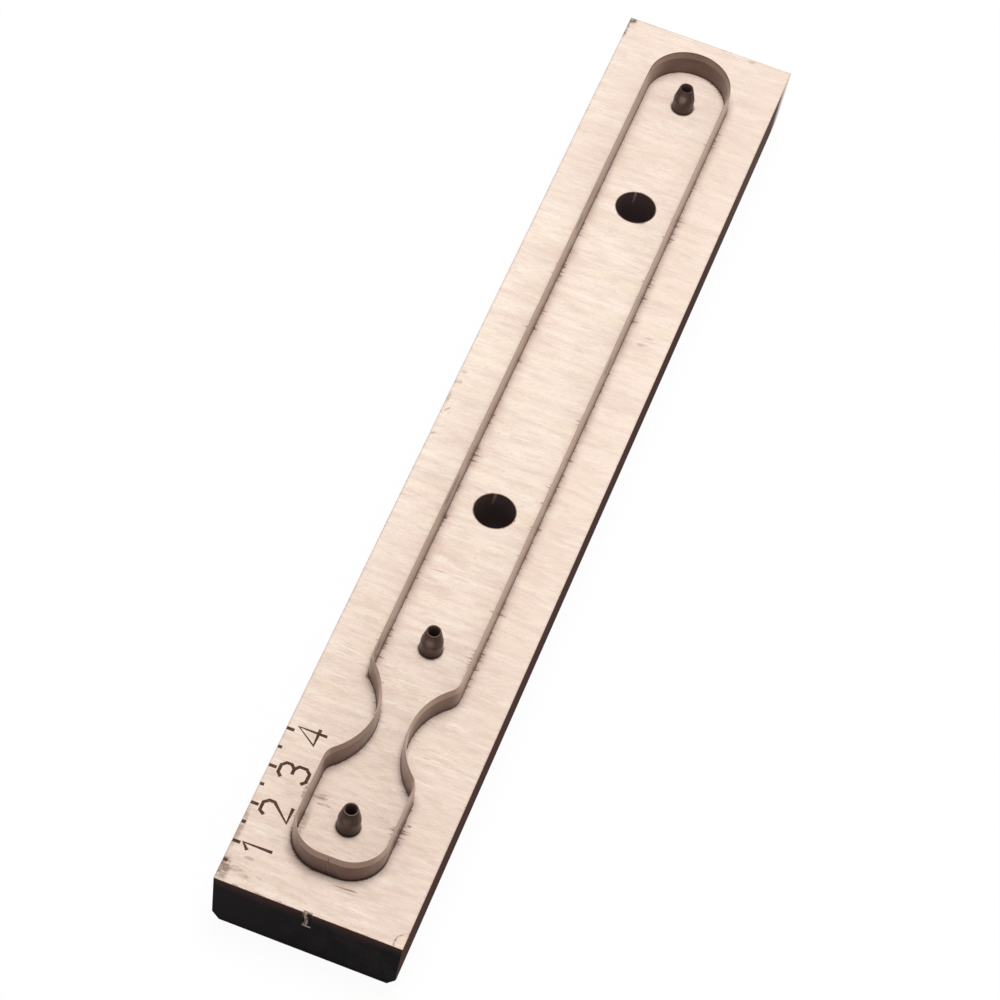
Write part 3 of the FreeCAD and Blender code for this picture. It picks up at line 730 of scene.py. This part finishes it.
# Section swept along the outline, standing upright, with notches where the board's bridges are
def makeRule(material):
    tree, given, result = newTree("sweptRule", {
        "Outline": "Geometry", "Thickness": "Float", "Height": "Float", "Bevel Height": "Float",
        "Edge Width": "Float", "Notch Width": "Float", "Notch Top": "Float", "Notch Count": "Int",
        "First Notch": "Vector", "Notch Step": "Vector", "Head Notch": "Vector", "Wall Half": "Float",
        "Material": "Material"})

    path = made(tree, "GeometryNodeMeshToCurve", {0: given["Outline"]})
    path = made(tree, "GeometryNodeSetCurveNormal", {0: path}, mode="Z_UP")
    captured = tree.nodes.new("GeometryNodeCaptureAttribute")
    captured.capture_items.new("FLOAT", "along")
    feed(tree, captured, {
        0: path, 1: addNode(tree, "GeometryNodeSplineParameter").outputs["Length"]})

    half = maths(tree, "DIVIDE", given["Thickness"], 2)
    halfEdge = maths(tree, "DIVIDE", given["Edge Width"], 2)
    shoulder = minus(tree, given["Height"], given["Bevel Height"])
    corners = ((0, half, -1), (0, half, 1), (shoulder, half, 1), (given["Height"], halfEdge, 1),
               (given["Height"], halfEdge, -1), (shoulder, half, -1))
    ring = made(tree, "GeometryNodeCurvePrimitiveCircle", {"Resolution": len(corners), "Radius": 1.0})
    chooser = addNode(tree, "GeometryNodeIndexSwitch", data_type="VECTOR")
    for _ in corners[2:]:
        chooser.index_switch_items.new()
    feed(tree, chooser, {"Index": made(tree, "GeometryNodeInputIndex")})
    for number, (rise, side, sign) in enumerate(corners, 1):
        feed(tree, chooser, {number: vector(tree, times(tree, side, sign), times(tree, rise, -1))})
    section = made(tree, "GeometryNodeSetPosition", {0: ring, "Position": chooser.outputs[0]})
    strip = made(tree, "GeometryNodeCurveToMesh", {
        "Curve": captured.outputs[0], "Profile Curve": section, "Fill Caps": True})
    rise = split(tree, made(tree, "GeometryNodeInputPosition"))[2]
    strip = made(tree, "GeometryNodeStoreNamedAttribute", {
        0: strip, "Name": "UVMap", "Value": vector(tree, captured.outputs[1], rise)},
        data_type="FLOAT2", domain="CORNER")

    # cutters for the notches, one row on each side and a pair at the head
    block = made(tree, "GeometryNodeMeshCube", {"Size": vector(
        tree, times(tree, given["Thickness"], 4), given["Notch Width"],
        times(tree, given["Notch Top"], 2))})
    row = made(tree, "GeometryNodeMeshLine", {
        "Count": given["Notch Count"], "Start Location": given["First Notch"],
        "Offset": given["Notch Step"]})
    single = made(tree, "GeometryNodeMeshLine", {"Count": 1, "Start Location": given["Head Notch"]})
    spots = tree.nodes.new("GeometryNodeJoinGeometry")
    for points in (row, single):
        for side in (1, -1):
            shift = vector(tree, times(tree, given["Wall Half"], side))
            moved = made(tree, "GeometryNodeTransform", {0: points, "Translation": shift})
            feed(tree, spots, {0: moved})
    cutters = made(tree, "GeometryNodeInstanceOnPoints", {
        "Points": spots.outputs[0], "Instance": block})
    notched = made(tree, "GeometryNodeMeshBoolean", {"Mesh 1": strip, "Mesh 2": cutters},
                   operation="DIFFERENCE", solver="EXACT")
    gentle = made(tree, "FunctionNodeCompare", {
        0: made(tree, "GeometryNodeInputMeshEdgeAngle"), 1: math.radians(rule["smoothAngle"])},
        operation="LESS_THAN")
    smooth = made(tree, "GeometryNodeSetShadeSmooth", {0: notched, "Shade Smooth": gentle},
                  domain="EDGE")
    endTree(tree, smooth, given, result)

    points = outlinePoints()
    source = bpy.data.meshes.new("ruleOutline")
    links = [(index, index + 1) for index in range(len(points) - 1)]
    source.from_pydata([(x * mm, y * mm, 0) for x, y, _ in points], links, [])
    bendAttribute = source.attributes.new("bend", "FLOAT", "POINT")
    bendAttribute.data.foreach_set("value", [bend for _, _, bend in points])
    firstNotch = outline["roundCentre"] - rule["notchInset"]
    lastNotch = bends["bodyShoulder"][1] + rule["notchInset"]
    headNotch = (bends["corner"][1] + bends["headShoulder"][1]) / 2
    step = (lastNotch - firstNotch) / (rule["notchCount"] - 1)
    return runTree("bent_cutting_rule", tree, source, {
        "Thickness": rule["thickness"] * mm, "Height": rule["height"] * mm,
        "Bevel Height": rule["bevelHeight"] * mm, "Edge Width": rule["edgeWidth"] * mm,
        "Notch Width": rule["notchWidth"] * mm, "Notch Top": rule["notchTop"] * mm,
        "Notch Count": rule["notchCount"], "First Notch": (0, firstNotch * mm, 0),
        "Notch Step": (0, step * mm, 0), "Head Notch": (0, headNotch * mm, 0),
        "Wall Half": outline["halfWidth"] * mm, "Material": material})


# Half section of a punch from the inside of its foot up to the rim and down the bore, turned round
def makePunch(name, along, material):
    radius, rim, bore, slug = (punch[key] for key in ("radius", "rimRadius", "boreRadius", "slugRadius"))
    top = rule["height"]
    cone = top - punch["coneHeight"]
    slope = (radius - rim) / punch["coneHeight"]
    rounding = punch["rounding"]
    land = top - punch["boreLand"]
    outside = [
        (slug + 0.15, 0), (radius - 0.2, 0), (radius - 0.06, 0.06), (radius, 0.2),
        (radius, board["top"]), (radius, cone - rounding), (radius - slope * rounding * 0.3, cone),
        (radius - slope * rounding, cone + rounding), (rim + slope * 0.4, top - 0.4),
        (rim + 0.012, top - 0.06), (rim - 0.02, top),
    ]
    inside = [
        (rim - punch["rimWidth"], top), (bore + 0.05, top - punch["rimBevel"] + 0.05),
        (bore, top - punch["rimBevel"] - 0.08), (bore, land), (slug, land - (slug - bore)),
        (slug, 0.15),
    ]
    section = outside + inside
    shape = bmesh.new()
    count = punch["segments"]
    rings = []
    for distance, height in section:
        ring = []
        for step in range(count):
            angle = 2 * math.pi * step / count
            ring.append(shape.verts.new((distance * math.cos(angle) * mm,
                                         (along + distance * math.sin(angle)) * mm, height * mm)))
        rings.append(ring)
    layer = shape.loops.layers.uv.new("UVMap")
    lengths = [0]
    for first, second in zip(section, section[1:] + section[:1]):
        lengths.append(lengths[-1] + math.dist(first, second))
    for number in range(len(section)):
        lower, upper = rings[number], rings[(number + 1) % len(section)]
        for step in range(count):
            after = (step + 1) % count
            face = shape.faces.new((lower[step], lower[after], upper[after], upper[step]))
            face.smooth = True
            around = (step, step + 1, step + 1, step)
            heights = (lengths[number], lengths[number], lengths[number + 1], lengths[number + 1])
            for loop, turn, rise in zip(face.loops, around, heights):
                loop[layer].uv = (2 * math.pi * radius * turn / count * mm, rise * mm)
    bmesh.ops.recalc_face_normals(shape, faces=shape.faces)
    for edge in shape.edges:
        if edge.calc_face_angle(0) > math.radians(punch["sharpAngle"]):
            edge.smooth = False
    mesh = bpy.data.meshes.new(name)
    shape.to_mesh(mesh)
    shape.free()
    # 0 outside and 1 in the bore, rising over the bevel of the rim
    shade = [0.0] * (len(outside) + 1) + [0.3, 0.8] + [1.0] * (len(inside) - 3)
    inner = mesh.attributes.new("inside", "FLOAT", "POINT")
    inner.data.foreach_set("value", [value for value in shade for _ in range(count)])
    mesh.materials.append(material)
    return addObject(name, mesh)


# Centimetre scale burnt beside the head: plain numbers and ticks, in millimetres
scale = {
    "numbers": (1, 2, 3, 4),
    "numberHeight": 6.4,
    "perNumber": 10.0,
    "baseline": -12.0,  # foot of the numbers, across the board
    "lineWidth": 0.8,
    "lineDepth": 0.05,
    "spacing": 5.0,
    "tickCount": 8,
    "shortTick": 0.9,
    "longTick": 1.7,
    "tickStart": 0.1,  # from the board's edge
    "strokes": {  # on a box one high, from its left foot
        1: [[(0.12, 0.78), (0.36, 1.0), (0.36, 0.0)]],
        2: [[(0.02, 0.8), (0.14, 0.98), (0.46, 0.98), (0.6, 0.82), (0.6, 0.64), (0.0, 0.0),
             (0.62, 0.0)]],
        3: [[(0.02, 0.84), (0.16, 0.98), (0.46, 0.98), (0.6, 0.84), (0.6, 0.66), (0.46, 0.53),
             (0.24, 0.53)],
            [(0.46, 0.53), (0.62, 0.4), (0.62, 0.15), (0.48, 0.0), (0.14, 0.0), (0.0, 0.14)]],
        4: [[(0.5, 0.0), (0.5, 1.0), (0.0, 0.3), (0.68, 0.3)]],
    },
    "strokeMiddle": 0.3,  # of the box, what stands at the number's own centimetre
    "look": {"tone": rgb(66, 45, 36), "patchTone": rgb(110, 79, 64), "levels": (0.4, 0.7),
             "patches": ((0.8, 0.5, 1), 3, 0.6, 3), "shine": 0.2},
}


def makeScale(material):
    tree, given, result = newTree("engravedScale", {
        "Numbers": "Geometry", "Line Width": "Float", "Line Depth": "Float", "Board Top": "Float",
        "First Tick": "Vector", "Tick Spacing": "Float", "Tick Count": "Int", "Short Tick": "Float",
        "Long Tick": "Float", "Material": "Material"})

    row = made(tree, "GeometryNodeMeshLine", {
        "Count": given["Tick Count"], "Start Location": given["First Tick"],
        "Offset": vector(tree, y=given["Tick Spacing"])})
    odd = maths(tree, "MODULO", made(tree, "GeometryNodeInputIndex"), 2)
    length = made(tree, "ShaderNodeMix", {0: odd, 2: given["Short Tick"], 3: given["Long Tick"]})
    tick = made(tree, "GeometryNodeCurvePrimitiveLine", {"Start": (0, 0, 0), "End": (1, 0, 0)})
    ticks = made(tree, "GeometryNodeInstanceOnPoints", {
        "Points": row, "Instance": tick, "Scale": vector(tree, length, 1.0, 1.0)})
    lines = tree.nodes.new("GeometryNodeJoinGeometry")
    feed(tree, lines, {0: made(tree, "GeometryNodeMeshToCurve", {0: given["Numbers"]})})
    feed(tree, lines, {0: made(tree, "GeometryNodeRealizeInstances", {0: ticks})})
    level = made(tree, "GeometryNodeSetCurveNormal", {0: lines.outputs[0]}, mode="Z_UP")
    level = made(tree, "GeometryNodeSetCurveRadius", {0: level, "Radius": 1.0})
    ring = made(tree, "GeometryNodeCurvePrimitiveCircle", {"Resolution": 12, "Radius": 1.0})
    section = made(tree, "GeometryNodeTransform", {0: ring, "Scale": vector(
        tree, maths(tree, "DIVIDE", given["Line Width"], 2),
        maths(tree, "DIVIDE", given["Line Depth"], 2), 1.0)})
    burnt = made(tree, "GeometryNodeCurveToMesh", {
        "Curve": level, "Profile Curve": section, "Fill Caps": True})
    raised = made(tree, "GeometryNodeTransform", {
        0: burnt, "Translation": vector(tree, z=given["Board Top"])})
    endTree(tree, raised, given, result)

    vertices, edges = [], []
    high = scale["numberHeight"]
    for number in scale["numbers"]:
        start = scale["perNumber"] * number - board["halfLength"] - scale["strokeMiddle"] * high
        for stroke in scale["strokes"][number]:
            first = len(vertices)
            for right, up in stroke:
                vertices.append(((scale["baseline"] - up * high) * mm, (start + right * high) * mm, 0))
            edges += [(index, index + 1) for index in range(first, len(vertices) - 1)]
    source = bpy.data.meshes.new("scaleStrokes")
    source.from_pydata(vertices, edges, [])
    return runTree("engraved_scale", tree, source, {
        "Line Width": scale["lineWidth"] * mm, "Line Depth": scale["lineDepth"] * mm,
        "Board Top": board["top"] * mm,
        "First Tick": ((scale["tickStart"] - board["halfWidth"]) * mm,
                       (scale["spacing"] - board["halfLength"]) * mm, 0),
        "Tick Spacing": scale["spacing"] * mm, "Tick Count": scale["tickCount"],
        "Short Tick": scale["shortTick"] * mm, "Long Tick": scale["longTick"] * mm,
        "Material": material})


# Splinters that stand in the torn place at the near end, in millimetres
splinters = {
    "length": 1.7,
    "width": 0.16,
    "sizes": (0.5, 1.25),  # smallest and largest
    "leanFrom": (-0.05, -0.5, 0),  # radians
    "leanTo": (0.2, 0.5, 3),
    "perArea": 1.7,  # per square millimetre of the torn place
    "seed": 6,
    "margin": 0.6,
    "shift": -0.25,
    "look": {"tone": rgb(200, 190, 184), "patchTone": rgb(70, 60, 57), "levels": (0.42, 0.62),
             "patches": ((1.2, 1.2, 1.2), 2, 0.5, 3), "shine": 0.1},
}


def makeSplinters(material):
    tree, given, result = newTree("tornSplinters", {
        "Wall": "Geometry", "Length": "Float", "Width": "Float", "Density": "Float", "Seed": "Int",
        "Material": "Material"})
    seed = given["Seed"]
    points = made(tree, "GeometryNodeDistributePointsOnFaces", {
        "Mesh": given["Wall"], "Density": given["Density"], "Seed": seed})
    sliver = made(tree, "GeometryNodeMeshCone", {
        "Vertices": 5, "Radius Top": 0.0, "Radius Bottom": given["Width"], "Depth": given["Length"]})
    lean = made(tree, "FunctionNodeRandomValue", {
        0: splinters["leanFrom"], 1: splinters["leanTo"], "Seed": seed}, data_type="FLOAT_VECTOR")
    smallest, largest = splinters["sizes"]
    size = addNode(tree, "FunctionNodeRandomValue", {2: smallest, 3: largest, "Seed": seed}).outputs[1]
    placed = made(tree, "GeometryNodeInstanceOnPoints", {
        "Points": points, "Instance": sliver, "Rotation": lean, "Scale": size})
    endTree(tree, placed, given, result)

    reach = (board["tabWidth"] / 2 - splinters["margin"]) * mm
    left, right = splinters["shift"] * mm - reach, splinters["shift"] * mm + reach
    back = -(board["halfLength"] - board["tabDepth"] + 0.02) * mm
    low = (board["top"] - board["tabHeight"] + 0.1) * mm
    high = (board["top"] - splinters["length"] * largest) * mm
    source = quadMesh("tornWall", [(left, back, low), (right, back, low), (right, back, high),
                                   (left, back, high)])
    return runTree("torn_splinters", tree, source, {
        "Length": splinters["length"] * mm, "Width": splinters["width"] * mm,
        "Density": splinters["perArea"] / mm ** 2, "Seed": splinters["seed"], "Material": material})


plywood = dieBoardMaterial()
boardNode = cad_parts["die_board"]
boardNode.data.materials.clear()
boardNode.data.materials.append(plywood)
print("board finished")

bentRule = makeRule(cuttingRuleMaterial())
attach(bentRule, "root")
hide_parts("cutting_rule")
print("rule finished")

turned = punchMaterial()
for place, along in punch["places"].items():
    piece = makePunch("hole_punch_" + place, along, turned)
    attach(piece, "root")
    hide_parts("punch_" + place)
print("punches finished")

torn = makeSplinters(woodMaterial("tornBirch", splinters["look"]))
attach(torn, "root")
print("splinters finished")

engraving = makeScale(woodMaterial("laserEngraved", scale["look"]))
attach(engraving, "root")
print("scale finished")


# 1 for rays that show the backdrop, straight or mirrored, and 0 for those that only carry its light
def looking(tree):
    rays = addNode(tree, "ShaderNodeLightPath").outputs
    inObject = maths(tree, "MAXIMUM", rays["Is Glossy Ray"], rays["Is Transmission Ray"])
    return maths(tree, "MAXIMUM", rays["Is Camera Ray"], inObject)


# White floor that still takes the object's shadow
def makeFloor():
    half, drop = studio["floorSize"] / 2, -studio["floorDrop"]
    mesh = quadMesh("floor", [(-half, -half, drop), (half, -half, drop), (half, half, drop),
                              (-half, half, drop)])
    material, tree, shader = newMaterial("paperWhite")
    tree.nodes.remove(shader)

    def diffuse(grey):
        return made(tree, "ShaderNodeBsdfDiffuse", {"Color": (grey, grey, grey, 1)})

    glow = made(tree, "ShaderNodeEmission", {"Color": (1, 1, 1, 1), "Strength": studio["floorGlow"]})
    white = made(tree, "ShaderNodeAddShader", {0: diffuse(1 - studio["floorGlow"]), 1: glow})
    surface = made(tree, "ShaderNodeMixShader", {
        0: looking(tree), 1: diffuse(studio["floorPaper"]), 2: white})
    # open from below, and for light that reaches the underside, so that the underside can be seen
    fromBelow = addNode(tree, "ShaderNodeNewGeometry").outputs["Backfacing"]
    rayLength = addNode(tree, "ShaderNodeLightPath").outputs["Ray Length"]
    touching = maths(tree, "LESS_THAN", rayLength, studio["floorTouch"])
    surface = made(tree, "ShaderNodeMixShader", {
        0: maths(tree, "MAXIMUM", fromBelow, touching), 1: surface,
        2: made(tree, "ShaderNodeBsdfTransparent")})
    feed(tree, tree.nodes["Material Output"], {"Surface": surface})
    mesh.materials.append(material)
    return addObject("floor", mesh)


def makeStudio():
    camera = bpy.data.cameras.new("camera")
    camera.lens = studio["lens"]
    camera.sensor_width = studio["sensorWidth"]
    view = addObject("camera", camera)
    view.location = studio["cameraPlace"]
    view.rotation_euler = Euler([math.radians(angle) for angle in studio["cameraTurn"]])
    scene.camera = view
    makeFloor()

    world = bpy.data.worlds.new("studio")
    world.use_nodes = True
    scene.world = world
    tree = world.node_tree
    strength = made(tree, "ShaderNodeMix", {0: looking(tree), 2: studio["skyLight"], 3: 1.0})
    feed(tree, tree.nodes["Background"], {"Color": (1, 1, 1, 1), "Strength": strength})

    for name in ("key", "fill"):
        lamp = bpy.data.lights.new(name, "AREA")
        lamp.shape = "DISK"
        lamp.size = studio[name + "Size"]
        lamp.energy = studio[name + "Power"]
        holder = addObject(name, lamp)
        holder.location = studio[name + "Place"]
        holder.rotation_euler = Vector(studio[name + "Place"]).to_track_quat("Z", "Y").to_euler()
    scene.view_settings.view_transform = "Standard"


makeStudio()
print("studio finished")
